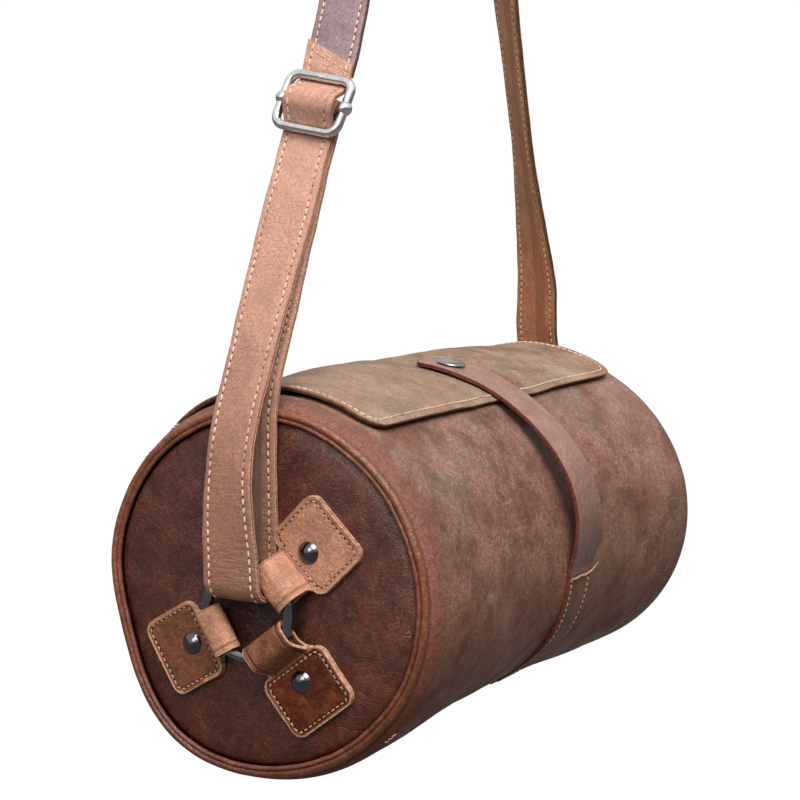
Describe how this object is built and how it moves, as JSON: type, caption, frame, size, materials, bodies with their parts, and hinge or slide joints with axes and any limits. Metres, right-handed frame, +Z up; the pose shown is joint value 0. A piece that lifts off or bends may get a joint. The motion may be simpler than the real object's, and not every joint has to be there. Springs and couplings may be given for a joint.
{
  "type": "barrel bag",
  "caption": "Small leather barrel bag with a top flap, a snap closing strap and an adjustable shoulder strap on end rings.",
  "frame": {"origin": "underside of the shoulder strap at the top of its turn, where a shoulder, hand or hook carries it", "axes": "+X along the barrel from the end with the adjuster to the other end, -Y towards the front with the closing strap, +Z up"},
  "size_m": [0.3467, 0.177, 0.5361],
  "materials": {
    "barrel_leather": "waxed, rubbed and slightly mottled",
    "panel_leather": "dark and glossy",
    "piping_leather": "smooth",
    "tab_leather": "smooth with pale raw edges",
    "strap_leather": "smooth with pale raw edges",
    "upper_strap_leather": "smooth with pale raw edges",
    "flap_leather": "waxed and rubbed",
    "backing_leather": "suede side",
    "closing_leather": "smooth with raw red edges",
    "lining_cloth": "plain weave",
    "board": "fibre board",
    "dark_steel": "gunmetal, polished",
    "nickel": "nickel plated"
  },
  "bodies": {
    "strap": {"strap_loop": "strap_leather", "front_run": "strap_leather", "rear_run": "strap_leather", "upper_run": "upper_strap_leather", "strap_upper": "upper_strap_leather", "far_strap_loop": "upper_strap_leather"},
    "adjuster": {"strap_bridge": "strap_leather", "strap_end_wrap": "strap_leather", "adjuster_frame": "nickel", "adjuster_bar": "nickel"},
    "bag": {"barrel_shell": "barrel_leather", "barrel_lining": "lining_cloth", "mouth_binding": "piping_leather", "near_end_panel": "panel_leather", "far_end_panel": "panel_leather", "near_end_board": "board", "far_end_board": "board", "near_piping": "piping_leather", "far_piping": "piping_leather", "near_front_tab": "tab_leather", "near_lower_tab": "tab_leather", "near_rear_tab": "tab_leather", "far_front_tab": "tab_leather", "far_lower_tab": "tab_leather", "far_rear_tab": "tab_leather", "near_rivets": "dark_steel", "far_rivets": "dark_steel", "flap_root_strip": "flap_leather", "closing_strap_foot": "closing_leather"},
    "near_ring": {"near_ring": "dark_steel"},
    "far_ring": {"far_ring": "dark_steel"},
    "flap": {"flap": "flap_leather", "flap_backing": "backing_leather", "snap_stud": "nickel"},
    "closing_strap": {"closing_strap": "closing_leather", "snap_cap": "nickel", "snap_socket": "nickel"}
  },
  "joints": [
    {"name": "bag_roll", "type": "hinge", "parent": "strap", "child": "bag", "pos_m": [0, -0.0055, -0.4538], "axis": [1, 0, 0], "range_deg": [0, 10]},
    {"name": "near_ring_turn", "type": "hinge", "parent": "bag", "child": "near_ring", "pos_m": [-0.17967, -0.0055, -0.4538], "axis": [1, 0, 0], "continuous": true},
    {"name": "far_ring_turn", "type": "hinge", "parent": "bag", "child": "far_ring", "pos_m": [0.14633, -0.0055, -0.4538], "axis": [1, 0, 0], "continuous": true},
    {"name": "flap_fold", "type": "hinge", "parent": "bag", "child": "flap", "pos_m": [-0.01667, 0.04913, -0.38022], "axis": [-1, 0, 0], "range_deg": [0, 28]},
    {"name": "closing_strap_swing", "type": "hinge", "parent": "bag", "child": "closing_strap", "pos_m": [-0.01667, -0.09322, -0.45211], "axis": [1, 0, 0], "range_deg": [0, 98]},
    {"name": "adjuster_slide", "type": "slide", "parent": "strap", "child": "adjuster", "axis": [0.3811, 0, 0.9245], "range_m": [-0.06, 0], "deforming": ["front_run", "rear_run", "upper_run"]}
  ],
  "couplings": [
    {"joint": "closing_strap_swing", "follows": "flap_fold", "ratio": 3.5}
  ]
}
